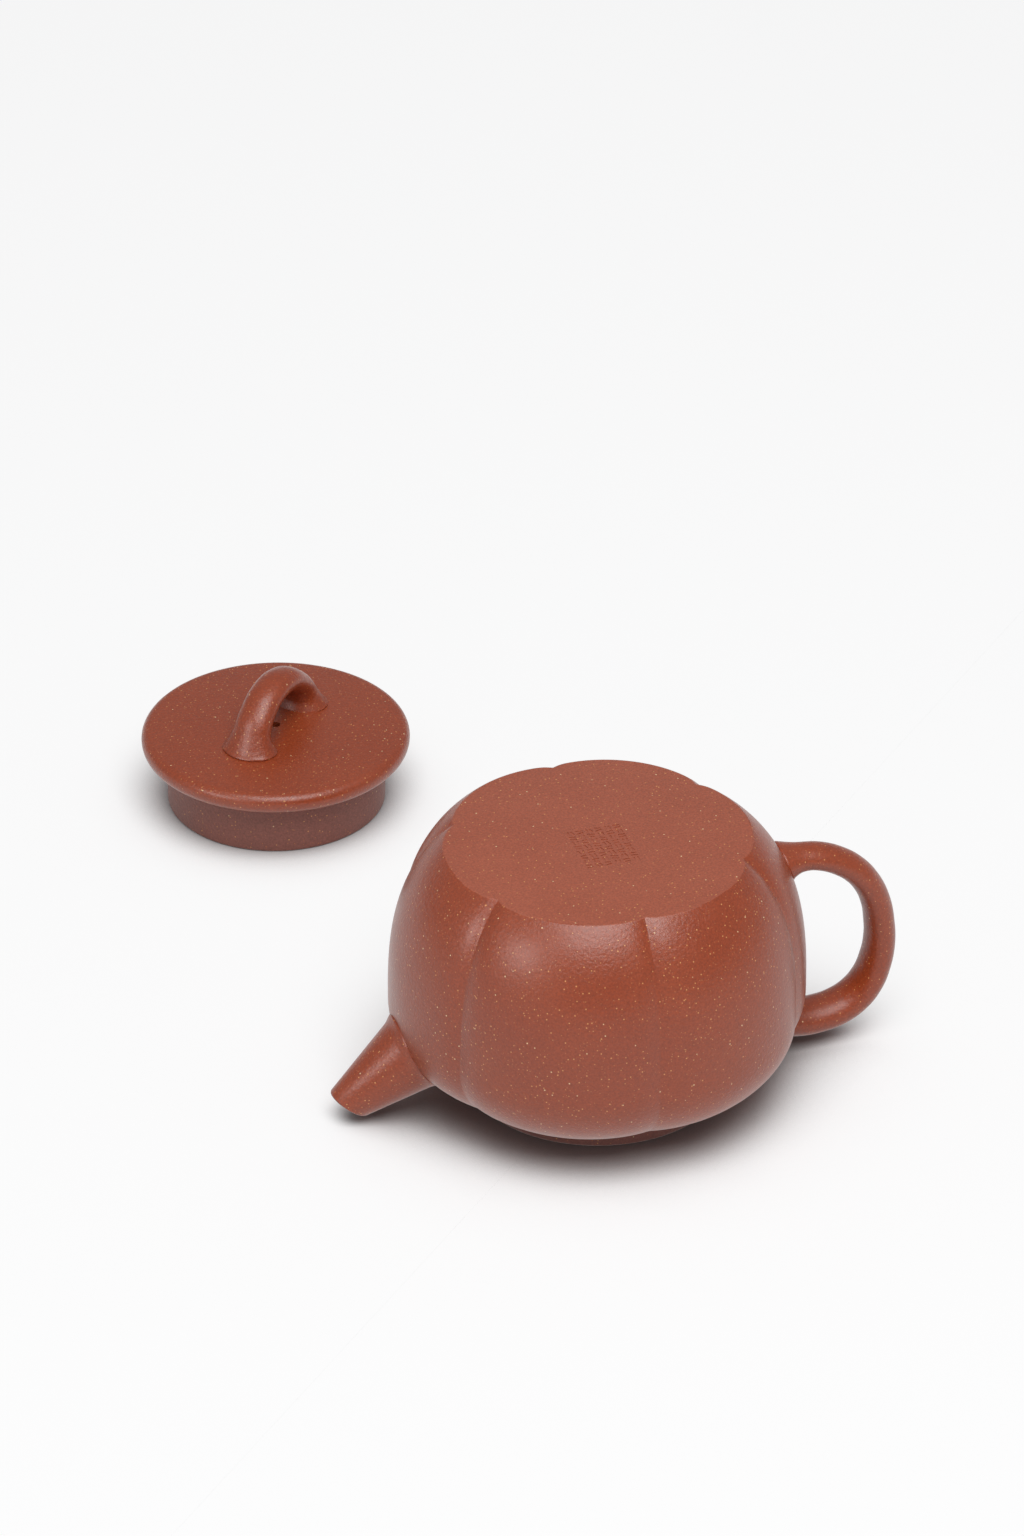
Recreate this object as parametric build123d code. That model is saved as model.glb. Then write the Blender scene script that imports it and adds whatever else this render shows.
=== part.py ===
from build123d import *
import math
import os

# A small clay teapot of the Yixing kind, stood mouth down, with its lid upright beside it.
# Millimetres, +Z up. The origin is the centre of the mouth's rim, on the surface that the pot
# stands on. +X points to the handle and -X to the spout.
# Each node is a slab, strip or roll of clay that is shaped alone and then luted on with slip.

# Pot body: six lobes, with crests on the spout and the handle and grooves between them
pot_height = 59.5
belly_radius = 45.4
waist_height = 22.4
base_radius = 33.4
neck_wall = 3.2
neck_height = 3.5
shoulder_height = 8.0
base_fullness = 2.77
shoulder_fullness = 2.25
lobe_count = 6
lobe_offset = 8.0
wall = 3.0
base_thickness = 3.5
rim_round = 0.8

# Lid: its flange drops into the mouth, and its disc rests on the neck's rim
flange_radius = 24.8
flange_wall = 2.2
flange_height = 13.3
flange_round = 0.6
mouth_clearance = 0.4
disc_overhang = 5.7
disc_edge = 4.4
disc_dome = 0.9
air_hole_radius = 1.1
lid_rest_x = -34.0
lid_rest_y = 131.3

# Knob: a bridge across the lid's disc, thickest at its feet
knob_angle = 45.0
knob_rise = 10.8
knob_half_span = 11.9
knob_lean = 1.2
knob_crown_thickness = 5.6
knob_crown_width = 8.2
knob_foot_thickness = 8.4
knob_foot_width = 15.6

# Spout: a straight cone, cut off at a slant so that its lip is level with the mouth's rim
spout_reach = 11.1
spout_tip_height = 3.9
spout_slope = 34.1
spout_tip_radius = 4.4
spout_flare = 0.2376
spout_wall = 1.3
spout_lip_slant = 19.5

# Strainer: a pierced ball of thin clay over the spout's hole, inside the pot
strainer_overlap = 1.6
strainer_wall = 1.4
strainer_hole_radius = 0.95
strainer_rings = ((0.0, 1), (27.0, 6), (52.0, 11))

# Handle: a roll of clay that thickens from its base end to its shoulder end
handle_reach = 19.0
handle_base_gap = 12.6
handle_rim_gap = 5.55
handle_thin = 4.9
handle_thick = 8.0
handle_narrow = 7.0
handle_wide = 11.2

# Seal pressed in the base: a plain frame round a lattice, with no lettering
seal_x = 0.4
seal_y = -2.3
seal_width = 12.5
seal_length = 15.5
seal_depth = 0.3
seal_line = 0.7
seal_columns = 4
seal_rows = 5

# What follows from the sizes above
mouth_radius = flange_radius + mouth_clearance
neck_radius = mouth_radius + neck_wall
disc_radius = flange_radius + disc_overhang
inner_ceiling = pot_height - base_thickness
spout_tip = (-(belly_radius + spout_reach), spout_tip_height)
spout_rise = math.radians(spout_slope)
disc_low = flange_height
disc_high = flange_height + disc_edge


def half_depth(depth, radius, edge_radius, fullness):
    """Semi-axis of the oval that falls from radius to edge_radius over depth."""
    return depth / (1 - (edge_radius / radius) ** fullness) ** (1 / fullness)


base_axis = half_depth(pot_height - waist_height, belly_radius, base_radius, base_fullness)
shoulder_axis = half_depth(waist_height - neck_height, belly_radius, neck_radius, shoulder_fullness)


def crest_radius(z, inset):
    """Radius of a lobe's crest at height z, for the skin that lies inset inside the outer one."""
    above = z > waist_height
    fullness = base_fullness if above else shoulder_fullness
    axis = (base_axis if above else shoulder_axis) - inset
    share = abs(z - waist_height) / axis
    return (belly_radius - inset) * (1 - share ** fullness) ** (1 / fullness)


def lobed_solid(inset, low, high):
    """A solid of six lobes from height low to height high, each turned about its own axis."""
    steps_below = 5
    steps_above = 7
    heights = [low + (waist_height - low) * i / steps_below for i in range(steps_below)]
    heights += [waist_height + (high - waist_height) * i / steps_above for i in range(steps_above + 1)]
    curve = Spline([(crest_radius(z, inset) - lobe_offset, 0, z) for z in heights])
    outline = curve + Polyline(curve @ 1, (0, 0, high), (0, 0, low), curve @ 0)
    turned = Pos(lobe_offset, 0, 0) * revolve(make_face(outline), Axis.Z)
    reach = 2 * belly_radius
    half_angle = 180 / lobe_count
    corner = (reach * math.cos(math.radians(half_angle)), reach * math.sin(math.radians(half_angle)))
    sector = make_face(Polyline((0, 0), corner, (corner[0], -corner[1]), close=True))
    lobe = turned & extrude(Pos(0, 0, low) * sector, amount=high - low)
    lobes = [Rot(0, 0, 360 * i / lobe_count) * lobe for i in range(lobe_count)]
    return lobes[0].fuse(*lobes[1:]).clean()


def slab(low, high):
    """Everything between two heights, wide enough to hold the pot."""
    width = 4 * belly_radius
    return Pos(0, 0, (low + high) / 2) * Box(width, width, high - low)


def spout_point(along):
    """A point on the spout's axis, at a distance from its tip towards the pot."""
    x = spout_tip[0] + along * math.cos(spout_rise)
    z = spout_tip[1] + along * math.sin(spout_rise)
    return Vector(x, 0, z)


def spout_plane(along):
    """The plane square to the spout's axis at a distance from its tip."""
    direction = Vector(math.cos(spout_rise), 0, math.sin(spout_rise))
    return Plane(spout_point(along), x_dir=(0, 1, 0), z_dir=direction)


def spout_cone(tip_radius):
    """The spout's cone, from beyond its tip to well inside the pot."""
    beyond = 2 * spout_tip_radius
    inside = spout_reach + belly_radius / 3 + spout_tip_radius
    low_radius = tip_radius - spout_flare * beyond
    high_radius = tip_radius + spout_flare * inside
    cone = Cone(low_radius, high_radius, beyond + inside, align=(Align.CENTER, Align.CENTER, Align.MIN))
    return spout_plane(-beyond) * cone


def spout_entry():
    """Distance from the spout's tip to the pot's inner skin, along the spout's axis."""
    near = 0.0
    far = belly_radius
    for _ in range(40):
        middle = (near + far) / 2
        point = spout_point(middle)
        if abs(point.X) > crest_radius(point.Z, wall):
            near = middle
        else:
            far = middle
    return near


def make_neck_ring():
    """The strip that stands up round the mouth, and the seat of the lid."""
    ring = Cylinder(neck_radius, neck_height, align=(Align.CENTER, Align.CENTER, Align.MIN))
    ring -= Cylinder(mouth_radius, neck_height, align=(Align.CENTER, Align.CENTER, Align.MIN))
    seat = ring.edges().filter_by(GeomType.CIRCLE).group_by(Axis.Z)[0].sort_by(SortBy.RADIUS)[-1]
    return fillet(seat, rim_round)


def make_shoulder_disc(outer, cavity):
    """The slab that closes the top of the pot, with the mouth cut through it."""
    disc = (outer - cavity) & slab(neck_height, shoulder_height)
    disc -= Cylinder(mouth_radius, 4 * shoulder_height)
    return disc - spout_cone(spout_tip_radius - spout_wall)


def make_belly_wall(outer, cavity):
    """The strip that is beaten into the lobed belly, with a hole for the spout."""
    ring = (outer - cavity) & slab(shoulder_height, inner_ceiling)
    return ring - spout_cone(spout_tip_radius - spout_wall)


def make_base_disc(outer):
    """The slab that closes the bottom of the pot, with the seal pressed in it."""
    disc = outer & slab(inner_ceiling, pot_height)
    step_x = (seal_width - seal_line) / seal_columns
    step_y = (seal_length - seal_line) / seal_rows
    pocket = Box(step_x - seal_line, step_y - seal_line, 2 * seal_depth)
    first_x = seal_x - (seal_width - seal_line - step_x) / 2
    first_y = seal_y - (seal_length - seal_line - step_y) / 2
    pockets = []
    for column in range(seal_columns):
        for row in range(seal_rows):
            place = Pos(first_x + column * step_x, first_y + row * step_y, pot_height)
            pockets.append(place * pocket)
    return disc - pockets


def make_spout(outer):
    """The spout, cut to the belly's skin at its root and at a slant at its lip."""
    spout = spout_cone(spout_tip_radius) - outer - spout_cone(spout_tip_radius - spout_wall)
    reach = 8 * spout_tip_radius
    lip = spout_plane(0) * Rot(-spout_lip_slant, 0, 0)
    return spout - lip * Pos(0, 0, -reach / 2) * Box(reach, reach, reach)


def make_strainer(cavity):
    """The pierced ball strainer, seated on the pot's inner skin round the spout's hole."""
    along = spout_entry()
    hole_radius = spout_tip_radius - spout_wall + spout_flare * along
    ball_radius = hole_radius + strainer_overlap
    ball = Sphere(ball_radius) - Sphere(ball_radius - strainer_wall)
    drill = Cylinder(strainer_hole_radius, 2 * ball_radius, align=(Align.CENTER, Align.CENTER, Align.MIN))
    for tilt, count in strainer_rings:
        for i in range(count):
            ball -= Rot(0, 0, 360 * i / count) * Rot(0, tilt, 0) * drill
    placed = spout_plane(along) * ball
    return (placed & cavity).solids().sort_by(SortBy.VOLUME)[-1]


def make_handle(outer):
    """The handle, lofted through ovals along its line and cut to the belly's skin."""
    height = pot_height - handle_base_gap - handle_rim_gap
    line = ((-0.43, 0.92), (-0.21, 0.99), (0.08, 1.0), (0.48, 0.94), (0.84, 0.78), (1.0, 0.53),
            (0.965, 0.27), (0.72, 0.077), (0.25, 0.0), (-0.2, 0.025), (-0.62, 0.12))
    points = [(belly_radius + out * handle_reach, 0, handle_rim_gap + up * height) for out, up in line]
    path = Spline(points)
    stations = 14
    ovals = []
    for i in range(stations):
        share = i / (stations - 1)
        thickness = handle_thin + (handle_thick - handle_thin) * share
        width = handle_narrow + (handle_wide - handle_narrow) * share
        plane = Plane(path @ share, x_dir=(0, 1, 0), z_dir=path % share)
        ovals.append(plane * Ellipse(width / 2, thickness / 2))
    return loft(ovals) - outer


def lid_place():
    """Where the lid stands, beside the pot."""
    return Pos(lid_rest_x, lid_rest_y, 0)


def disc_face(low):
    """Half of the lid disc's section, from height low up, with its rounded edge and domed top."""
    edge_in = disc_edge / 2
    corner_low = (disc_radius - edge_in * 0.7, 0, disc_low)
    corner_high = (disc_radius - edge_in, 0, disc_high)
    edge = ThreePointArc(corner_low, (disc_radius, 0, disc_low + disc_edge / 2), corner_high)
    half = corner_high[0] / 2
    dome = ThreePointArc(corner_high, (half, 0, disc_high + 0.75 * disc_dome), (0, 0, disc_high + disc_dome))
    sides = Polyline(dome @ 1, (0, 0, low), (corner_low[0], 0, low))
    if low < disc_low:
        sides += Line((corner_low[0], 0, low), corner_low)
    return make_face(edge + dome + sides)


def make_lid_disc():
    """The lid's round plate, with an air hole under the knob."""
    plate = revolve(disc_face(disc_low), Axis.Z)
    return lid_place() * (plate - Cylinder(air_hole_radius, 4 * disc_high))


def make_lid_flange():
    """The strip under the lid's disc that fits in the pot's mouth."""
    ring = Cylinder(flange_radius, flange_height, align=(Align.CENTER, Align.CENTER, Align.MIN))
    bore = Cylinder(flange_radius - flange_wall, flange_height, align=(Align.CENTER, Align.CENTER, Align.MIN))
    ring -= bore
    foot = ring.edges().filter_by(GeomType.CIRCLE).group_by(Axis.Z)[0]
    return lid_place() * fillet(foot, flange_round)


def make_lid_knob():
    """The bridge knob, lofted along a leaning arch and cut to the disc's domed top."""
    foot_height = disc_high + disc_dome * (1 - (knob_half_span / disc_radius) ** 2)
    sunk = knob_foot_thickness / 3
    points = []
    for turn in (180, 160, 135, 110, 70, 45, 20, 0):
        lean = math.cos(math.radians(turn))
        out = knob_half_span * math.copysign(abs(lean) ** knob_lean, lean)
        points.append((out, 0, foot_height + knob_rise * math.sin(math.radians(turn))))
    ends = [(side * knob_half_span, 0, foot_height - sunk) for side in (-1, 1)]
    path = Spline([ends[0], *points, ends[1]])
    stations = 13
    ovals = []
    for i in range(stations):
        share = i / (stations - 1)
        spread = abs(2 * share - 1) ** 4
        thickness = knob_crown_thickness + (knob_foot_thickness - knob_crown_thickness) * spread
        width = knob_crown_width + (knob_foot_width - knob_crown_width) * spread
        plane = Plane(path @ share, x_dir=(0, 1, 0), z_dir=path % share)
        ovals.append(plane * Ellipse(width / 2, thickness / 2))
    bridge = loft(ovals) - revolve(disc_face(0), Axis.Z)
    bridge = bridge.solids().sort_by(Axis.Z)[-1]
    return lid_place() * Rot(0, 0, knob_angle) * bridge


def make_teapot():
    """Every piece of the teapot, by name."""
    outer = lobed_solid(0, neck_height, pot_height)
    cavity = lobed_solid(wall, neck_height + wall / 3, inner_ceiling)
    return {
        "neck_ring": make_neck_ring(),
        "shoulder_disc": make_shoulder_disc(outer, cavity),
        "belly_wall": make_belly_wall(outer, cavity),
        "base_disc": make_base_disc(outer),
        "spout": make_spout(outer),
        "strainer": make_strainer(cavity),
        "handle": make_handle(outer),
        "lid_disc": make_lid_disc(),
        "lid_flange": make_lid_flange(),
        "lid_knob": make_lid_knob(),
    }


os.makedirs("parts", exist_ok=True)
for name, piece in make_teapot().items():
    export_step(piece, f"parts/{name}.step")
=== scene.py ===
# %% [markdown]
# # A small clay teapot, stood mouth down, with its lid beside it
# The pot is unglazed red stoneware of the Yixing kind. A potter beats slabs and rolls of clay,
# joins them with slip, rubs the skin smooth and fires it. The measured model of each piece is
# loaded first, and never moves. What follows makes the surfaces that the eye sees.

# %% Load the measured model
import math
import random

import bpy
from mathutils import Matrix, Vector


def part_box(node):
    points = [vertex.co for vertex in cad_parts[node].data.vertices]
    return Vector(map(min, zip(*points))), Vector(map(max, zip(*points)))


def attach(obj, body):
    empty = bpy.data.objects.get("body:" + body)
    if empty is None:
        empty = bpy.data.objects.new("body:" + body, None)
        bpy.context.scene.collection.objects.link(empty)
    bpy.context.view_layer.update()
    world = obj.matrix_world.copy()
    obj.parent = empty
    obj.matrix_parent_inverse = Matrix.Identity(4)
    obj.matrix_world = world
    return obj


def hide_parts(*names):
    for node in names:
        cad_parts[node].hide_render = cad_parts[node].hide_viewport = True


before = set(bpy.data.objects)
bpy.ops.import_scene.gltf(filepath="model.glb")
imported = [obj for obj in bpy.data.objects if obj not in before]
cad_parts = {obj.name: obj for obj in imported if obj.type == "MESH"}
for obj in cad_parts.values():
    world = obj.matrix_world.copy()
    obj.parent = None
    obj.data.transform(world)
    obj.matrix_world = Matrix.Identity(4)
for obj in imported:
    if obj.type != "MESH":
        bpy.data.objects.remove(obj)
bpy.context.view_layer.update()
MM = 0.001
# Points nearer than this to a cutting plane count as on it.
FINE = 0.0005 * MM

# %% [markdown]
# ## Camera
# In a product studio the camera stands well back with a long lens, so that the pot keeps its true
# proportions. The camera looks down at the table by about a third of a right angle, from in
# front of the spout's side. It could be placed by numbers for its place and turn, but an aim
# point, a direction and a distance are easier to understand and to change.

# %% Camera
aim = Vector((20.6, 125.9, 0.0)) * MM
turn_round = math.radians(-17.56)
look_down = math.radians(31.63)
stand_back = 1956.7 * MM
towards_camera = Vector((
    math.sin(turn_round) * math.cos(look_down),
    -math.cos(turn_round) * math.cos(look_down),
    math.sin(look_down),
))
bpy.ops.object.camera_add(location=aim + towards_camera * stand_back)
camera = bpy.context.object
camera.rotation_euler = (-towards_camera).to_track_quat("-Z", "Y").to_euler()
camera.data.lens = 200
camera.data.sensor_width = 36
camera.data.clip_end = 20
bpy.context.scene.camera = camera
bpy.context.scene.view_settings.view_transform = "Standard"
print("camera stands", [round(v, 3) for v in camera.location])

# %% [markdown]
# ## Small helpers for hand work
# Most tools work on what is selected, so each step starts with nothing selected but its own
# piece. Faces, edges and points are then picked by a test on their place.

# %% Helpers: selecting, copying and cleaning
def pick(*objects):
    """Selects these objects only, and makes the first one active."""
    bpy.ops.object.select_all(action="DESELECT")
    for obj in objects:
        obj.select_set(True)
    bpy.context.view_layer.objects.active = objects[0]


def select_where(obj, test, mode):
    """In edit mode, selects points that pass the test, or edges and faces whose points all do."""
    bpy.ops.mesh.select_mode(type="VERT")
    bpy.ops.mesh.select_all(action="DESELECT")
    bpy.ops.object.mode_set(mode="OBJECT")
    for point in obj.data.vertices:
        point.select = test(point.co)
    bpy.ops.object.mode_set(mode="EDIT")
    bpy.ops.mesh.select_mode(type=mode)


def apply_modifiers(obj):
    """Applies every modifier of an object, from the top down."""
    pick(obj)
    for modifier in list(obj.modifiers):
        bpy.ops.object.modifier_apply(modifier=modifier.name)


def copy_of(obj, name):
    """A copy with a mesh of its own."""
    pick(obj)
    bpy.ops.object.duplicate()
    made = bpy.context.object
    made.name = name
    return made


def clean_up(obj):
    """Merges doubled points and turns every face outwards."""
    pick(obj)
    bpy.ops.object.mode_set(mode="EDIT")
    bpy.ops.mesh.select_all(action="SELECT")
    bpy.ops.mesh.remove_doubles(threshold=0.004 * MM)
    bpy.ops.mesh.normals_make_consistent(inside=False)
    bpy.ops.object.mode_set(mode="OBJECT")


# %% [markdown]
# ## Turning a section
# A potter's round pieces are turned, so a section is drawn as a chain of points in the plane of
# X and Z, extruded point by point, and spun round an upright axis.

# %% Helpers: drawing and spinning a section
def draw_chain(name, points):
    """A chain of edges through (x, z) points, grown from one point by extruding it."""
    bpy.ops.object.select_all(action="DESELECT")
    bpy.ops.mesh.primitive_plane_add(size=MM)
    obj = bpy.context.object
    obj.name = name
    bpy.ops.object.mode_set(mode="EDIT")
    bpy.ops.mesh.select_mode(type="VERT")
    bpy.ops.mesh.select_all(action="SELECT")
    bpy.ops.mesh.merge(type="CENTER")
    bpy.ops.transform.translate(value=(points[0][0], 0, points[0][1]))
    for (x_from, z_from), (x_to, z_to) in zip(points, points[1:]):
        step = (x_to - x_from, 0, z_to - z_from)
        bpy.ops.mesh.extrude_region_move(TRANSFORM_OT_translate={"value": step})
    bpy.ops.object.mode_set(mode="OBJECT")
    return obj


def spin_round(obj, centre, steps):
    """Moves a section to its centre's line and spins it once round the upright axis there."""
    pick(obj)
    bpy.ops.object.mode_set(mode="EDIT")
    bpy.ops.mesh.select_all(action="SELECT")
    bpy.ops.transform.translate(value=(0, centre[1], 0))
    bpy.ops.mesh.spin(steps=steps, angle=math.tau, center=(centre[0], centre[1], 0), axis=(0, 0, 1))
    bpy.ops.object.mode_set(mode="OBJECT")
    clean_up(obj)


def round_ring(obj, centre, radius, height, width):
    """Bevels the edge ring of that radius and height round an upright axis."""
    def on_ring(point):
        reach = math.hypot(point.x - centre[0], point.y - centre[1])
        return abs(reach - radius) < 0.02 * MM and abs(point.z - height) < 0.02 * MM

    pick(obj)
    bpy.ops.object.mode_set(mode="EDIT")
    select_where(obj, on_ring, "EDGE")
    bpy.ops.mesh.bevel(offset=width, segments=5, affect="EDGES")
    bpy.ops.object.mode_set(mode="OBJECT")


# %% [markdown]
# ## Sizes
# Heights and widths are read from the measured pieces, so that what is made here fits them. A box
# doesn't tell how full the belly's curve is, how far each lobe's centre stands off or how thick
# the wall is, so those are written here, once.

# %% Sizes
belly_low, belly_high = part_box("belly_wall")
neck_low, neck_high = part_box("neck_ring")
base_low, base_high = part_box("base_disc")
disc_low, disc_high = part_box("lid_disc")
flange_low, flange_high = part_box("lid_flange")

belly_radius = (belly_high[0] - belly_low[0]) / 2
neck_radius = (neck_high[0] - neck_low[0]) / 2
neck_height = neck_high[2]
shoulder_height = belly_low[2]
inner_ceiling = belly_high[2]
pot_height = base_high[2]
flange_radius = (flange_high[0] - flange_low[0]) / 2
disc_radius = (disc_high[0] - disc_low[0]) / 2
lid_centre = ((disc_low[0] + disc_high[0]) / 2, (disc_low[1] + disc_high[1]) / 2)

waist_height = 22.4 * MM
base_radius = 33.4 * MM
base_fullness = 2.77
shoulder_fullness = 2.25
lobes = 6
lobe_offset = 8.0 * MM
wall = 3.0 * MM
mouth_clearance = 0.4 * MM
mouth_radius = flange_radius + mouth_clearance
round_steps = 192
print("belly radius", round(belly_radius / MM, 2), "mm, height", round(pot_height / MM, 2), "mm")

# %% [markdown]
# ## The lobed skin
# The belly has six lobes. Each lobe is part of a round body whose axis stands a little off the
# pot's own, towards that lobe. So one round body is spun, a sixth of the circle is cut out of it
# with two upright planes, and it is copied round. Pushing grooves into one round pot would
# also do, but this gives lobes that are as full as the potter's.

# %% The crest's curve
def half_depth(depth, radius, edge_radius, fullness):
    """Semi-axis of the oval that falls from radius to edge_radius over depth."""
    return depth / (1 - (edge_radius / radius) ** fullness) ** (1 / fullness)


base_axis = half_depth(pot_height - waist_height, belly_radius, base_radius, base_fullness)
shoulder_axis = half_depth(waist_height - neck_height, belly_radius, neck_radius, shoulder_fullness)


def crest_radius(z, inset):
    """Radius of a lobe's crest at height z, for the skin that lies inset inside the outer one."""
    above = z > waist_height
    fullness = base_fullness if above else shoulder_fullness
    axis = (base_axis if above else shoulder_axis) - inset
    share = abs(z - waist_height) / axis
    return (belly_radius - inset) * (1 - share ** fullness) ** (1 / fullness)


def skin_heights(low, high):
    """Heights of the skin's rings: closer towards the neck, with a thin pair at each joint."""
    rings_below = 22
    rings_above = 34
    thin = 0.12 * MM
    heights = []
    for i in range(rings_below):
        rise = 1 - math.cos(math.pi / 2 * i / rings_below)
        heights.append(low + (waist_height - low) * rise)
    heights += [waist_height + (high - waist_height) * i / rings_above for i in range(rings_above + 1)]
    joints = [z for z in (shoulder_height, inner_ceiling) if low < z < high]
    heights = [z for z in heights if all(abs(z - joint) > 3 * thin for joint in joints)]
    for joint in joints:
        heights += [joint - thin, joint, joint + thin]
    return sorted(heights)


# %% One lobe, copied round
def lobed_skin(name, inset, low, high, steps):
    """An open skin of six lobes between two heights."""
    chain = [(crest_radius(z, inset), z) for z in skin_heights(low, high)]
    skin = draw_chain(name, chain)
    spin_round(skin, (lobe_offset, 0), steps)
    bpy.ops.object.mode_set(mode="EDIT")
    half = math.pi / lobes
    for side in (1, -1):
        bpy.ops.mesh.select_all(action="SELECT")
        plane_normal = (-math.sin(half), side * math.cos(half), 0)
        bpy.ops.mesh.bisect(
            plane_co=(0, 0, 0), plane_no=plane_normal, threshold=FINE, clear_outer=True,
        )
    bpy.ops.mesh.select_all(action="SELECT")
    for _ in range(lobes - 1):
        bpy.ops.mesh.duplicate()
        bpy.ops.transform.rotate(value=math.tau / lobes, orient_axis="Z", center_override=(0, 0, 0))
    bpy.ops.object.mode_set(mode="OBJECT")
    clean_up(skin)
    return skin


fine_steps = 360
outer_skin = lobed_skin("outer_skin", 0, neck_height, pot_height, fine_steps)
print("outer skin", len(outer_skin.data.polygons), "faces")

# %% [markdown]
# ## Pressing the grooves
# Where two lobes meet, the potter presses a groove with a wooden rib and then rubs it with a damp
# horn tool, so it is crisp at the base's edge and softer towards the belly. A Cast modifier draws
# the points there sideways, towards a thin upright cylinder in the pot, so each ring keeps its
# height. A Smooth modifier does the rubbing. Vertex groups hold both to the grooves. The grooves
# could be cut with a Boolean, but a cut has two hard edges and a pressed groove has none.

# %% Where the rib presses and the horn rubs
groove_half_width = 1.5 * MM
groove_widening = 1.6
groove_roundness = 1.4


def beside_groove(point):
    """Distance along the skin from a point to the nearest groove's line."""
    around = math.atan2(point.y, point.x) % (math.tau / lobes) - math.pi / lobes
    return abs(around) * math.hypot(point.x, point.y)


def press_weight(point):
    """How deep the rib presses: from 1 at the base's edge to half, and wider, at the neck."""
    down = (pot_height - point.z) / (pot_height - neck_height)
    width = groove_half_width * (1 + groove_widening * down)
    return (1 - 0.5 * down) * math.exp(-(beside_groove(point) / width) ** groove_roundness)


def rub_weight(point):
    """How much the skin is rubbed: not at all at the base's edge and at the neck."""
    near_groove = math.exp(-(beside_groove(point) / (2.6 * groove_half_width)) ** 2)
    from_base = min(1, max(0, (pot_height - 3 * MM - point.z) / (14 * MM)))
    from_neck = min(1, max(0, (point.z - neck_height - MM) / (5 * MM)))
    return near_groove * from_base * from_neck


# %% Press and rub
pressed = outer_skin.vertex_groups.new(name="pressed")
rubbed = outer_skin.vertex_groups.new(name="rubbed")
for vertex in outer_skin.data.vertices:
    pressed.add([vertex.index], press_weight(vertex.co), "REPLACE")
    rubbed.add([vertex.index], rub_weight(vertex.co), "REPLACE")
press = outer_skin.modifiers.new("press", "CAST")
press.cast_type = "CYLINDER"
press.use_z = False
press.use_radius_as_size = False
press.radius = 0
press.size = 5 * MM
# A point at 33 mm from the middle moves by this share of its way to 5 mm, which is about 0.7 mm.
press.factor = 0.024
press.vertex_group = "pressed"
rub = outer_skin.modifiers.new("rub", "SMOOTH")
rub.factor = 0.5
rub.iterations = 2
rub.use_z = False
rub.vertex_group = "rubbed"
apply_modifiers(outer_skin)
outer_skin.vertex_groups.clear()
print("grooves pressed, skin is", [round(v / MM, 1) for v in outer_skin.dimensions], "mm")

# %% [markdown]
# ## Closed cores for trimming
# The spout and the handle end on the belly's skin, the pot is hollow, and its wall has a hole for
# the spout. Closed bodies are the tools for those cuts: the pot as a solid, its hollow, and the
# spout's bore. A Boolean modifier cuts cleanly only when both meshes are closed.

# %% The pot as one solid
def cover_open_rims(obj):
    """Fills each open rim of a mesh with one face."""
    pick(obj)
    bpy.ops.object.mode_set(mode="EDIT")
    bpy.ops.mesh.select_mode(type="EDGE")
    bpy.ops.mesh.select_all(action="DESELECT")
    bpy.ops.mesh.select_non_manifold()
    bpy.ops.mesh.fill_holes(sides=0)
    bpy.ops.object.mode_set(mode="OBJECT")
    clean_up(obj)


pot_core = copy_of(outer_skin, "pot_core")
cover_open_rims(pot_core)
# The hollow starts a little above the neck and ends a little past the belly's top, so that no
# two faces of a cut lie together.
hollow_low = neck_height + wall / 3
hollow_high = inner_ceiling + MM
hollow = lobed_skin("hollow", wall, hollow_low, hollow_high, fine_steps // 3)
cover_open_rims(hollow)


def cut_away(obj, tool):
    """Cuts one closed mesh out of another and applies the result."""
    step = obj.modifiers.new("cut", "BOOLEAN")
    step.operation = "DIFFERENCE"
    step.solver = "EXACT"
    step.object = tool
    apply_modifiers(obj)


# %% [markdown]
# ## The spout
# It is a plain cone, rolled and bored, with its lip cut at a slant. A cone is added along the
# spout's axis and bored by another. It meets the belly in a small cove of slip: the points that
# lie near the belly are pushed outwards by a Displace modifier, whose weights come from a Vertex
# Weight Proximity modifier. The lip's outer edge is bevelled before the cone gets its many rings,
# because a bevel tangles where short edges meet.

# %% Spout sizes
spout_slope = math.radians(34.1)
spout_tip = Vector((-(belly_radius + 11.1 * MM), 0, 3.9 * MM))
spout_tip_radius = 4.4 * MM
spout_flare = 0.2376
spout_wall = 1.3 * MM
spout_lip_slant = math.radians(19.5)
spout_axis = Vector((math.cos(spout_slope), 0, math.sin(spout_slope)))


def spout_cone(name, tip_radius):
    """A closed cone along the spout's axis, from beyond the tip to inside the pot."""
    start = -8 * MM
    end = 30 * MM
    bpy.ops.object.select_all(action="DESELECT")
    bpy.ops.mesh.primitive_cone_add(
        vertices=96,
        radius1=tip_radius + spout_flare * start,
        radius2=tip_radius + spout_flare * end,
        depth=end - start,
        location=spout_tip + spout_axis * (start + end) / 2,
        rotation=(0, math.pi / 2 - spout_slope, 0),
    )
    cone = bpy.context.object
    cone.name = name
    bpy.ops.object.transform_apply(location=True, rotation=True, scale=True)
    return cone


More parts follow.
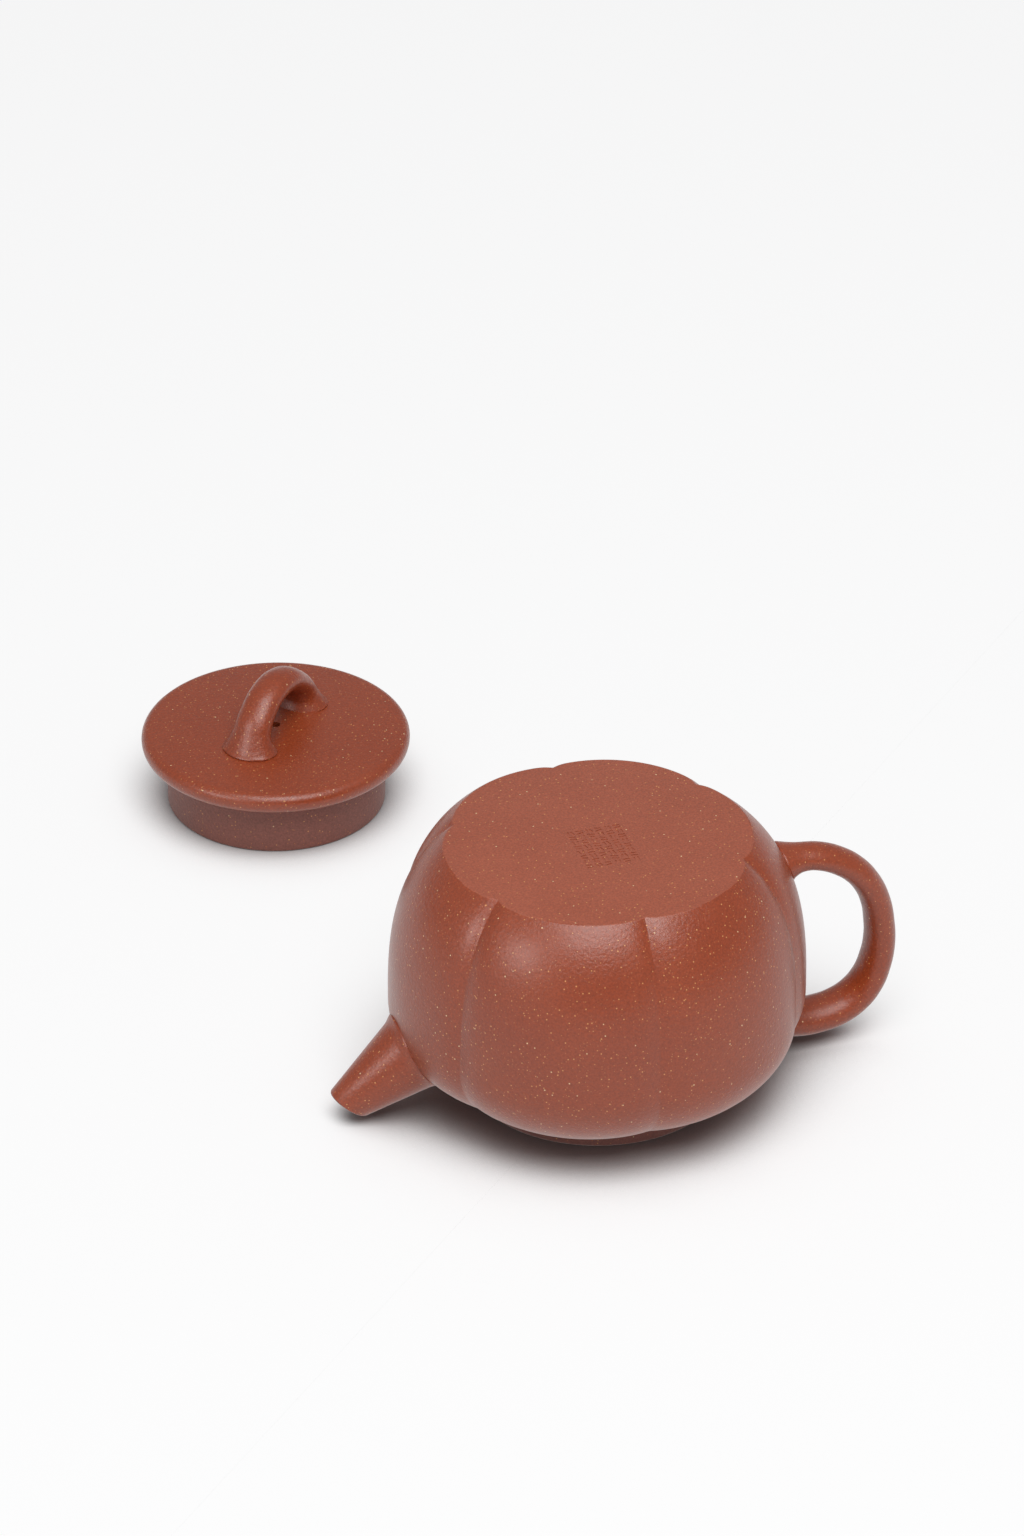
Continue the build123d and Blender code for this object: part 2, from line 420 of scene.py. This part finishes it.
def add_cove(obj, target, width, height):
    """Pushes the points near a target's skin outwards, as slip does where two clays meet."""
    near = obj.vertex_groups.new(name="near")
    near.add(range(len(obj.data.vertices)), 1.0, "REPLACE")
    weigh = obj.modifiers.new("weigh", "VERTEX_WEIGHT_PROXIMITY")
    weigh.vertex_group = "near"
    weigh.target = target
    weigh.proximity_mode = "GEOMETRY"
    weigh.proximity_geometry = {"FACE"}
    weigh.min_dist = height
    weigh.max_dist = 0
    weigh.falloff_type = "SHARP"
    push = obj.modifiers.new("push", "DISPLACE")
    push.strength = width
    push.mid_level = 0
    push.vertex_group = "near"
    apply_modifiers(obj)
    obj.vertex_groups.clear()


# %% Make the spout
bore = spout_cone("bore", spout_tip_radius - spout_wall)
spout = spout_cone("spout_clay", spout_tip_radius)
lip_turn = spout_slope + spout_lip_slant
lip_normal = Vector((math.cos(lip_turn), 0, math.sin(lip_turn)))
pick(spout)
bpy.ops.object.mode_set(mode="EDIT")
bpy.ops.mesh.select_all(action="SELECT")
bpy.ops.mesh.bisect(
    plane_co=spout_tip, plane_no=lip_normal, threshold=FINE, clear_inner=True, use_fill=True,
)
bpy.ops.object.mode_set(mode="OBJECT")
clean_up(spout)
print("cone cut at", round(math.degrees(lip_turn), 1), "degrees")


# %% Round the lip
def on_lip(point):
    """True on the flat lip of the spout."""
    return abs((point - spout_tip).dot(lip_normal)) < 0.01 * MM


def on_inner_lip(point):
    """True on the lip's edge round the bore."""
    from_tip = point - spout_tip
    aside = (from_tip - spout_axis * from_tip.dot(spout_axis)).length
    return on_lip(point) and aside < spout_tip_radius - spout_wall / 2


def round_lip(test, width):
    """Bevels the lip's edges whose points pass the test."""
    pick(spout)
    bpy.ops.object.mode_set(mode="EDIT")
    select_where(spout, test, "EDGE")
    bpy.ops.mesh.bevel(offset=width, segments=4, affect="EDGES")
    bpy.ops.object.mode_set(mode="OBJECT")


round_lip(on_lip, 0.45 * MM)

# %% Rings for the cove, then the cuts
pick(spout)
bpy.ops.object.mode_set(mode="EDIT")
first_ring = 4 * MM
ring_gap = MM / 2
for i in range(52):
    on_axis = spout_tip + spout_axis * (first_ring + i * ring_gap)
    bpy.ops.mesh.select_all(action="SELECT")
    bpy.ops.mesh.bisect(plane_co=on_axis, plane_no=spout_axis, threshold=FINE)
bpy.ops.object.mode_set(mode="OBJECT")
add_cove(spout, pot_core, 0.5 * MM, 1.8 * MM)
cut_away(spout, pot_core)
cut_away(spout, bore)
clean_up(spout)
round_lip(on_inner_lip, 0.3 * MM)


def compare(piece, node):
    """Prints a made piece's size beside the measured one's, in mm."""
    low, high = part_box(node)
    made = [round(v / MM, 1) for v in piece.dimensions]
    print(node, made, "measured", [round((b - a) / MM, 1) for a, b in zip(low, high)])


compare(spout, "spout")

# %% [markdown]
# ## The belly, the shoulder and the base
# The potter closes the belly's strip with a slab at each end. The outer skin is copied, cut at
# the joints and covered, and then the hollow, the bore and the mouth are cut out of it. Bridging
# an outer skin to an inner one would do too, but it needs the same points in both.

# %% Slabs cut from the skins
def cut_between(obj, low, high):
    """Keeps what lies between two heights; None leaves that side alone."""
    pick(obj)
    bpy.ops.object.mode_set(mode="EDIT")
    for height, keep_above in ((low, True), (high, False)):
        if height is not None:
            bpy.ops.mesh.select_all(action="SELECT")
            bpy.ops.mesh.bisect(
                plane_co=(0, 0, height), plane_no=(0, 0, 1), threshold=FINE,
                clear_inner=keep_above, clear_outer=not keep_above,
            )
    bpy.ops.object.mode_set(mode="OBJECT")


def slab_of_pot(name, low, high):
    """The closed slab of the lobed pot between two heights."""
    slab = copy_of(outer_skin, name)
    cut_between(slab, low, high)
    cover_open_rims(slab)
    return slab


belly = slab_of_pot("belly_clay", shoulder_height, inner_ceiling)
cut_away(belly, hollow)
cut_away(belly, bore)
clean_up(belly)
compare(belly, "belly_wall")

# %% The shoulder slab, with the mouth cut through
shoulder = slab_of_pot("shoulder_clay", None, shoulder_height)
bpy.ops.object.select_all(action="DESELECT")
bpy.ops.mesh.primitive_cylinder_add(vertices=round_steps, radius=mouth_radius, depth=30 * MM)
mouth_tool = bpy.context.object
cut_away(shoulder, hollow)
cut_away(shoulder, mouth_tool)
cut_away(shoulder, bore)
clean_up(shoulder)
compare(shoulder, "shoulder_disc")

# %% [markdown]
# ## The base and its seal
# The base is flat, with a crisp edge that follows the lobes. A seal is pressed near its middle.
# A real seal has writing, so this one has only a woven lattice of short strokes. Each stroke is a
# block, turned a little off line as a hand-cut seal's are, and one Boolean sinks them all. A bump
# in the material would be quicker, but real depth catches the light at the strokes' edges.

# %% The base slab
base = slab_of_pot("base_clay", inner_ceiling, None)


def on_base_edge(point):
    """True on the lobed edge of the flat base."""
    return abs(point.z - pot_height) < 0.01 * MM


pick(base)
bpy.ops.object.mode_set(mode="EDIT")
select_where(base, on_base_edge, "EDGE")
bpy.ops.mesh.bevel(offset=0.3 * MM, segments=3, affect="EDGES")
bpy.ops.object.mode_set(mode="OBJECT")

# %% The seal's strokes
seal_centre = (0.4 * MM, -2.3 * MM)
seal_width = 12.5 * MM
seal_length = 15.5 * MM
seal_columns = 6
seal_rows = 8
stroke_depth = 0.3 * MM
draw = random.Random(7)


def add_stroke(x, y, width, length):
    """A block that sinks into the base, a little turned as a hand-cut seal's strokes are."""
    depth = stroke_depth * draw.uniform(0.55, 1.0)
    bpy.ops.mesh.primitive_cube_add(size=1, location=(x, y, pot_height + stroke_depth - depth / 2))
    block = bpy.context.object
    block.scale = (width, length, 2 * stroke_depth)
    block.rotation_euler.z = draw.uniform(-0.35, 0.35)
    return block


bpy.ops.object.select_all(action="DESELECT")
strokes = []
step_x = seal_width / seal_columns
step_y = seal_length / seal_rows
stroke_width = step_x * 0.2
for column in range(seal_columns):
    for row in range(seal_rows):
        x = seal_centre[0] + (column - (seal_columns - 1) / 2) * step_x
        y = seal_centre[1] + (row - (seal_rows - 1) / 2) * step_y
        for side in (-1, 1):
            shift = side * step_x * 0.22
            share = draw.uniform(0.6, 0.78)
            if (column + row) % 2:
                strokes.append(add_stroke(x + shift, y, stroke_width, step_y * share))
            else:
                strokes.append(add_stroke(x, y + shift, step_x * share, stroke_width))
pick(*strokes)
bpy.ops.object.join()
seal_tool = bpy.context.object
bpy.ops.object.transform_apply(location=True, rotation=True, scale=True)
cut_away(base, seal_tool)
clean_up(base)
compare(base, "base_disc")

# %% [markdown]
# ## The neck
# A short strip stands round the mouth, and the lid's disc rests on it. Its section is drawn as a
# closed box and spun, and its corners are rounded as a wet finger does it. A cylinder with a hole
# cut through would look the same, but a spun section has even rings that bevel cleanly.

# %% The neck ring
def turned_ring(name, centre, inner, outer, low, high):
    """A ring with a plain box for its section."""
    section = [(inner, low), (outer, low), (outer, high), (inner, high), (inner, low)]
    ring = draw_chain(name, [(centre[0] + x, z) for x, z in section])
    pick(ring)
    bpy.ops.object.mode_set(mode="EDIT")
    bpy.ops.mesh.select_all(action="SELECT")
    bpy.ops.mesh.remove_doubles(threshold=0.004 * MM)
    bpy.ops.object.mode_set(mode="OBJECT")
    spin_round(ring, centre, round_steps)
    return ring


pot_centre = (0.0, 0.0)
neck = turned_ring("neck_clay", pot_centre, mouth_radius, neck_radius, 0, neck_height)
round_ring(neck, pot_centre, neck_radius, 0, 0.8 * MM)
round_ring(neck, pot_centre, mouth_radius, 0, 0.4 * MM)
compare(neck, "neck_ring")

# %% [markdown]
# ## The handle
# A roll of clay is drawn out by hand, bent in a loop and joined at the base's side and the
# shoulder. A Bezier curve through a few points is the roll's line, an oval is its section, and
# each point's radius thickens it towards the shoulder. It becomes a mesh, gets its coves and is
# trimmed to the belly. A ring could be extruded step by step instead, but a curve bends evenly.

# %% A roll along a line
def clay_roll(name, points, radii, oval, evened=False):
    """A closed tube through points, with an oval section that each radius scales.

    An evened roll gets a point between each two and is smoothed, as a roll bends without corners.
    """
    bpy.ops.object.select_all(action="DESELECT")
    bpy.ops.curve.primitive_bezier_circle_add(radius=1)
    section = bpy.context.object
    section.scale = (oval[0] / 2, oval[1] / 2, 1)
    bpy.ops.object.transform_apply(location=False, rotation=False, scale=True)
    section.data.resolution_u = 12
    bpy.ops.object.select_all(action="DESELECT")
    bpy.ops.curve.primitive_bezier_curve_add()
    roll = bpy.context.object
    roll.name = name
    line = roll.data.splines[0]
    line.bezier_points.add(len(points) - 2)
    for knot, place, radius in zip(line.bezier_points, points, radii):
        knot.co = place
        knot.radius = radius
        knot.handle_left_type = "AUTO"
        knot.handle_right_type = "AUTO"
    roll.data.twist_mode = "MINIMUM"
    roll.data.resolution_u = 24
    roll.data.bevel_mode = "OBJECT"
    roll.data.bevel_object = section
    roll.data.use_fill_caps = True
    pick(roll)
    if evened:
        bpy.ops.object.mode_set(mode="EDIT")
        bpy.ops.curve.select_all(action="SELECT")
        bpy.ops.curve.subdivide()
        bpy.ops.curve.smooth()
        bpy.ops.curve.smooth()
        bpy.ops.curve.handle_type_set(type="AUTOMATIC")
        bpy.ops.object.mode_set(mode="OBJECT")
        roll.data.resolution_u = 12
    bpy.ops.object.convert(target="MESH")
    bpy.data.objects.remove(section)
    clean_up(roll)
    return roll


# %% Make the handle
handle_reach = 18.9 * MM
handle_top = pot_height - 12.6 * MM
handle_bottom = 5.55 * MM
# The loop's line, as shares of how far out and how far up it goes.
handle_line = (
    (-0.43, 0.92), (-0.21, 0.99), (0.08, 1.0), (0.48, 0.94), (0.84, 0.78), (1.0, 0.53),
    (0.965, 0.27), (0.72, 0.077), (0.25, 0.0), (-0.2, 0.025), (-0.62, 0.12),
)
handle_points = [
    (belly_radius + out * handle_reach, 0, handle_bottom + up * (handle_top - handle_bottom))
    for out, up in handle_line
]
thickening = 0.62
last = len(handle_points) - 1
handle_radii = [1 + thickening * i / last for i in range(last + 1)]
handle_oval = (7.0 * MM, 4.95 * MM)
handle = clay_roll("handle_clay", handle_points, handle_radii, handle_oval, evened=True)
add_cove(handle, pot_core, 1.65 * MM, 5.0 * MM)
cut_away(handle, pot_core)
clean_up(handle)
compare(handle, "handle")

# %% [markdown]
# ## The lid
# The lid is a turned disc with a rounded edge and a slightly domed top, a flange below it and a
# bridge knob on top. The disc's half section is drawn from the middle of its underside, round its
# edge and back to the middle of its dome. Spun, it is a closed body without seams. A flattened
# sphere would be quicker, but its edge couldn't be full below and softer above.

# %% The disc's half section
flange_height = flange_high[2]
edge_height = 4.4 * MM
dome = disc_high[2] - flange_height - edge_height
under_rounding = 1.5 * MM
top_rounding = 2.2 * MM
steps_on_edge = 14
steps_on_top = 24
section = [(0.0, flange_height), (disc_radius - under_rounding, flange_height)]
for i in range(1, steps_on_edge + 1):
    share = i / steps_on_edge
    swing = math.pi * (share - 0.5)
    rounding = under_rounding if share < 0.5 else top_rounding
    x = disc_radius - rounding + rounding * math.cos(swing)
    section.append((x, flange_height + edge_height / 2 * (1 + math.sin(swing))))
top_radius = disc_radius - top_rounding
for i in range(1, steps_on_top + 1):
    share = 1 - i / steps_on_top
    section.append((top_radius * share, flange_height + edge_height + dome * (1 - share ** 2)))

# %% Spin the disc and pierce its air hole
plate = draw_chain("lid_disc_clay", [(lid_centre[0] + x, z) for x, z in section])
spin_round(plate, lid_centre, round_steps)
disc_core = copy_of(plate, "disc_core")
bpy.ops.object.select_all(action="DESELECT")
bpy.ops.mesh.primitive_cylinder_add(
    vertices=32, radius=1.1 * MM, depth=40 * MM, location=(lid_centre[0], lid_centre[1], 20 * MM),
)
air_hole = bpy.context.object
cut_away(plate, air_hole)
clean_up(plate)
compare(plate, "lid_disc")

# %% The flange
flange_inner = flange_radius - 2.2 * MM
flange = turned_ring(
    "lid_flange_clay", lid_centre, flange_inner, flange_radius, 0, flange_height,
)
round_ring(flange, lid_centre, flange_radius, 0, 0.6 * MM)
round_ring(flange, lid_centre, flange_inner, 0, 0.5 * MM)
compare(flange, "lid_flange")

# %% [markdown]
# ## The knob
# The knob is a small bridge, broad at its feet. It is a roll like the handle, bent in an arch,
# thicker towards its feet by each point's radius, and coved where it stands on the disc. Half a
# torus would be quicker, but its arch is round and as thick at the top as at its feet.

# %% Make the knob
knob_turn = math.radians(45.0)
knob_half_span = 11.9 * MM
knob_rise = 10.8 * MM
knob_lean = 1.2
foot_height = flange_height + edge_height + dome * (1 - (knob_half_span / disc_radius) ** 2)
root_height = foot_height - 2.8 * MM
knob_points = [(-knob_half_span, 0, root_height)]
for degrees in (180, 160, 135, 110, 70, 45, 20, 0):
    lean = math.cos(math.radians(degrees))
    out = knob_half_span * math.copysign(abs(lean) ** knob_lean, lean)
    knob_points.append((out, 0, foot_height + knob_rise * math.sin(math.radians(degrees))))
knob_points.append((knob_half_span, 0, root_height))
last = len(knob_points) - 1
foot_spread = 0.4
knob_radii = [1 + foot_spread * abs(2 * i / last - 1) ** 2.5 for i in range(last + 1)]
knob = clay_roll("lid_knob_clay", knob_points, knob_radii, (5.6 * MM, 8.2 * MM))

# %% Set it on the disc and cove its feet
pick(knob)
bpy.ops.object.mode_set(mode="EDIT")
bpy.ops.mesh.select_all(action="SELECT")
bpy.ops.transform.rotate(value=-knob_turn, orient_axis="Z", center_override=(0, 0, 0))
bpy.ops.transform.translate(value=(lid_centre[0], lid_centre[1], 0))
bpy.ops.object.mode_set(mode="OBJECT")
add_cove(knob, disc_core, 1.6 * MM, 5.5 * MM)
cut_away(knob, disc_core)
clean_up(knob)
compare(knob, "lid_knob")

# %% [markdown]
# ## Fired clay
# The pot is red Yixing stoneware, unglazed, fired to about 1150 degrees. The outside is burnished
# with a horn rib, which gives the eye a satin skin with a broad pale shine over a grain like
# orange peel, and many tiny golden specks of sand. The base's flat face is only patted, so it is
# duller, and its colour is painted paler as painted light, for the light that this up-facing face
# catches. The neck, the flange and the strainer are scraped, so they hardly shine; their colour is
# browner and painted darker as painted shade, for the shade under the belly, under the lid's disc
# and inside the pot. One function makes all three, because they are one clay and differ in colour,
# roughness, polish and how many specks lie bare. A texture picture could show the specks too, but
# nodes stay sharp at any distance.

# %% Colours and nodes
def linear(hex_colour):
    """An sRGB colour such as '8A4634' as linear red, green, blue and alpha."""
    channels = [int(hex_colour[i:i + 2], 16) / 255 for i in (0, 2, 4)]
    return [c / 12.92 if c <= 0.04045 else ((c + 0.055) / 1.055) ** 2.4 for c in channels] + [1.0]


def add(tree, kind, settings=None, **links):
    """Adds a node, sets its values and links other nodes' outputs to its inputs.

    A link is named after its input, or i and a number where inputs share one name.
    """
    node = tree.nodes.new(kind)
    for name, value in (settings or {}).items():
        if name in node.inputs:
            node.inputs[name].default_value = value
        else:
            setattr(node, name, value)
    for name, source in links.items():
        key = int(name[1:]) if name[0] == "i" and name[1:].isdigit() else name
        tree.links.new(source, node.inputs[key])
    return node


def per_size(size):
    """Texture scale that repeats once in a real size."""
    return 1 / size


# %% Specks of sand
def add_specks(tree, place, colour, cell, radius, share, tint):
    """Lays round specks over a colour: one in each chosen cell of the given size."""
    cells = add(tree, "ShaderNodeTexVoronoi", {"Scale": per_size(cell)}, Vector=place)
    spot = add(
        tree, "ShaderNodeMapRange", {"From Min": radius, "From Max": radius * 0.55},
        Value=cells.outputs["Distance"],
    )
    lots = add(tree, "ShaderNodeSeparateColor", None, Color=cells.outputs["Color"])
    chosen = add(tree, "ShaderNodeMath", {"operation": "LESS_THAN"}, i0=lots.outputs[0])
    chosen.inputs[1].default_value = share
    amount = add(
        tree, "ShaderNodeMath", {"operation": "MULTIPLY"}, i0=spot.outputs[0], i1=chosen.outputs[0],
    )
    layer = add(tree, "ShaderNodeMix", {"data_type": "RGBA"}, i0=amount.outputs[0], i6=colour)
    layer.inputs[7].default_value = linear(tint)
    return layer.outputs[2]


# %% The clay
def fired_clay(name, deep, pale, roughness, polish, speck_share):
    """Unglazed red clay with grain, specks and a fine skin."""
    material = bpy.data.materials.new(name)
    material.use_nodes = True
    tree = material.node_tree
    shader = tree.nodes["Principled BSDF"]
    place = add(tree, "ShaderNodeTexCoord").outputs["Object"]

    # Broad clouds of a slightly paler red, as the kiln leaves them.
    cloud = add(
        tree, "ShaderNodeTexNoise", {"Scale": per_size(16 * MM), "Detail": 3.0}, Vector=place,
    )
    tone = add(tree, "ShaderNodeMix", {"data_type": "RGBA"}, i0=cloud.outputs["Fac"])
    tone.inputs[6].default_value = linear(deep)
    tone.inputs[7].default_value = linear(pale)

    # The clay's own sandy grain. Real grains are nearer 0.2 mm, too fine to show from here.
    grain = add(
        tree, "ShaderNodeTexNoise", {"Scale": per_size(0.45 * MM), "Detail": 2.0}, Vector=place,
    )
    shade = add(
        tree, "ShaderNodeMapRange",
        {"From Min": 0.3, "From Max": 0.7, "To Min": 0.82, "To Max": 1.16},
        Value=grain.outputs["Fac"],
    )
    body = add(
        tree, "ShaderNodeVectorMath", {"operation": "SCALE"},
        i0=tone.outputs[2], Scale=shade.outputs[0],
    )

    # Golden specks, small brown ones between them and a few pale grains.
    colour = body.outputs[0]
    colour = add_specks(tree, place, colour, 1.3 * MM, 0.15, speck_share, "D4935A")
    colour = add_specks(tree, place, colour, 0.7 * MM, 0.2, speck_share * 0.5, "B86E42")
    colour = add_specks(tree, place, colour, 2.6 * MM, 0.075, speck_share, "E6C79A")
    tree.links.new(colour, shader.inputs["Base Color"])

    # The orange peel that the horn rib leaves, which breaks up the shine.
    peel = add(
        tree, "ShaderNodeTexNoise",
        {"Scale": per_size(0.8 * MM), "Detail": 3.0, "Roughness": 0.6}, Vector=place,
    )
    bump = add(
        tree, "ShaderNodeBump", {"Strength": 1.0, "Distance": 0.16 * MM},
        Height=peel.outputs["Fac"],
    )
    tree.links.new(bump.outputs[0], shader.inputs["Normal"])
    matt = add(
        tree, "ShaderNodeMapRange",
        {"From Min": 0.3, "From Max": 0.7, "To Min": roughness - 0.05, "To Max": roughness + 0.05},
        Value=cloud.outputs["Fac"],
    )
    tree.links.new(matt.outputs[0], shader.inputs["Roughness"])

    # The polish is a second, tighter shine that shows most at grazing angles.
    shader.inputs["IOR"].default_value = 1.5
    shader.inputs["Coat Weight"].default_value = polish
    shader.inputs["Coat Roughness"].default_value = 0.28
    shader.inputs["Coat IOR"].default_value = 1.5
    return material


burnished = fired_clay("burnished_red_stoneware", "8C391A", "984322", 0.38, 0.27, 1.0)
# Its paler colour is painted light, for the light that the up-facing base catches.
patted_painted_paler = fired_clay("patted_red_stoneware_painted_paler", "994B32", "A4563D", 0.45, 0.25, 0.8)
# Its darker colour is partly painted shade, for the neck and flange under overhangs and the strainer
# inside.
scraped_painted_darker = fired_clay("scraped_red_stoneware_painted_darker", "7A483D", "8A5347", 0.6, 0.0, 0.7)

# %% Give each piece its clay and its body, and hide the measured piece that it stands for
pieces = (
    (belly, "pot", "belly_wall", burnished),
    (base, "pot", "base_disc", burnished),
    (shoulder, "pot", "shoulder_disc", burnished),
    (neck, "pot", "neck_ring", scraped_painted_darker),
    (spout, "pot", "spout", burnished),
    (handle, "pot", "handle", burnished),
    (plate, "lid", "lid_disc", burnished),
    (flange, "lid", "lid_flange", scraped_painted_darker),
    (knob, "lid", "lid_knob", burnished),
)
for piece, body, node, clay in pieces:
    piece.data.materials.clear()
    piece.data.materials.append(clay)
    pick(piece)
    bpy.ops.object.shade_smooth_by_angle(angle=math.radians(32))
    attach(piece, body)
    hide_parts(node)
print(len(pieces), "pieces have their clay")


# %% The base's flat face, the strainer and the tools
def on_flat_base(point):
    """True on the base's flat face and in the seal's strokes."""
    return point.z > pot_height - MM / 2 and math.hypot(point.x, point.y) < base_radius


base.data.materials.append(patted_painted_paler)
pick(base)
bpy.ops.object.mode_set(mode="EDIT")
select_where(base, on_flat_base, "FACE")
base.active_material_index = 1
bpy.ops.object.material_slot_assign()
bpy.ops.object.mode_set(mode="OBJECT")
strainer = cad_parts["strainer"]
strainer.data.materials.clear()
strainer.data.materials.append(scraped_painted_darker)
for tool in (outer_skin, pot_core, disc_core, bore, hollow, mouth_tool, air_hole, seal_tool):
    bpy.data.objects.remove(tool)

# %% [markdown]
# ## Studio
# The pot stands on white paper under one big soft lamp, high up and a little in front of it. A
# smaller lamp low on the left gives only a shine on the clay. The paper shows nearly its own white
# wherever the sky above it is open, and where something stands close over it, its colour is
# painted darker as painted shade. So the lamps stay at a plain level and the clay keeps its colour.
# Stronger lamps would whiten the paper too, but they would bleach the clay.

# %% A sheet of paper
bpy.ops.object.select_all(action="DESELECT")
bpy.ops.mesh.primitive_plane_add(size=40)
paper = bpy.context.object
paper.name = "paper"
white_paper = bpy.data.materials.new("white_paper")
white_paper.use_nodes = True
sheet = white_paper.node_tree
paper_shader = sheet.nodes["Principled BSDF"]
paper_shader.inputs["Roughness"].default_value = 1.0
paper_shader.inputs["Specular IOR Level"].default_value = 0.0
glow = add(sheet, "ShaderNodeEmission", {"Color": linear("FDFDFD"), "Strength": 1.0})
paper.data.materials.append(white_paper)
print("paper", paper.dimensions[0], "m wide")

# %% Its painted shade close to the pot, and its own white
open_sky = add(sheet, "ShaderNodeAmbientOcclusion", {"Distance": 48 * MM})
# Where something stands close over the paper, less of the sky reaches it, and there the paper's colour
# is painted darker as painted shade.
painted_contact_shade = add(
    sheet, "ShaderNodeMapRange", {"From Min": 0.15, "From Max": 0.7, "To Min": 0.25, "To Max": 0.93},
    Value=open_sky.outputs["AO"],
)
sheet.links.new(painted_contact_shade.outputs[0], paper_shader.inputs["Base Color"])
# Where the sky is open, the eye sees most of the paper's own white, whatever the lamp gives.
lit = add(
    sheet, "ShaderNodeMapRange", {"From Min": 0.35, "From Max": 0.86, "To Max": 0.76},
    Value=open_sky.outputs["AO"],
)

# %% Which looks see which white
ray = add(sheet, "ShaderNodeLightPath").outputs
seen = add(
    sheet, "ShaderNodeMath", {"operation": "MAXIMUM"},
    i0=ray["Is Camera Ray"], i1=ray["Is Transmission Ray"],
)
seen_share = add(
    sheet, "ShaderNodeMath", {"operation": "MULTIPLY"}, i0=lit.outputs[0], i1=seen.outputs[0],
)
# In the clay's shine the paper shows as evenly white, which makes the low belly pinkish.
mirrored_share = add(sheet, "ShaderNodeMath", {"operation": "MULTIPLY"}, i0=ray["Is Glossy Ray"])
mirrored_share.inputs[1].default_value = 0.75
share = add(
    sheet, "ShaderNodeMath", {"operation": "MAXIMUM"},
    i0=seen_share.outputs[0], i1=mirrored_share.outputs[0],
)
blend = add(
    sheet, "ShaderNodeMixShader", None,
    Fac=share.outputs[0], i1=paper_shader.outputs[0], i2=glow.outputs[0],
)
sheet.links.new(blend.outputs[0], sheet.nodes["Material Output"].inputs["Surface"])
print("paper has", len(sheet.nodes), "nodes")

# %% The room
# Its pale walls fill the shadows a little.
world = bpy.data.worlds.new("studio")
bpy.context.scene.world = world
world.use_nodes = True
world.node_tree.nodes["Background"].inputs["Color"].default_value = linear("F8F8FB")
world.node_tree.nodes["Background"].inputs["Strength"].default_value = 0.36


# %% Lamps
def soft_lamp(name, direction, distance, size, glow):
    """A square lamp that faces the pot from a direction; glow is how bright its face is."""
    away = Vector(direction).normalized()
    bpy.ops.object.light_add(type="AREA", location=Vector((0.0, 0.05, 0.0)) + away * distance)
    lamp = bpy.context.object
    lamp.name = name
    lamp.rotation_euler = (-away).to_track_quat("-Z", "Y").to_euler()
    lamp.data.size = size
    lamp.data.energy = glow * math.pi * size ** 2
    return lamp


soft_lamp("key", (-0.06, -0.4, 0.91), 1.5, 1.05, 5.2)
shine = soft_lamp("shine", (-0.8, -0.32, 0.48), 1.3, 0.4, 8.0)
# It shows in the clay's shine only, and throws no light or shadow on the paper.
shine.visible_diffuse = False
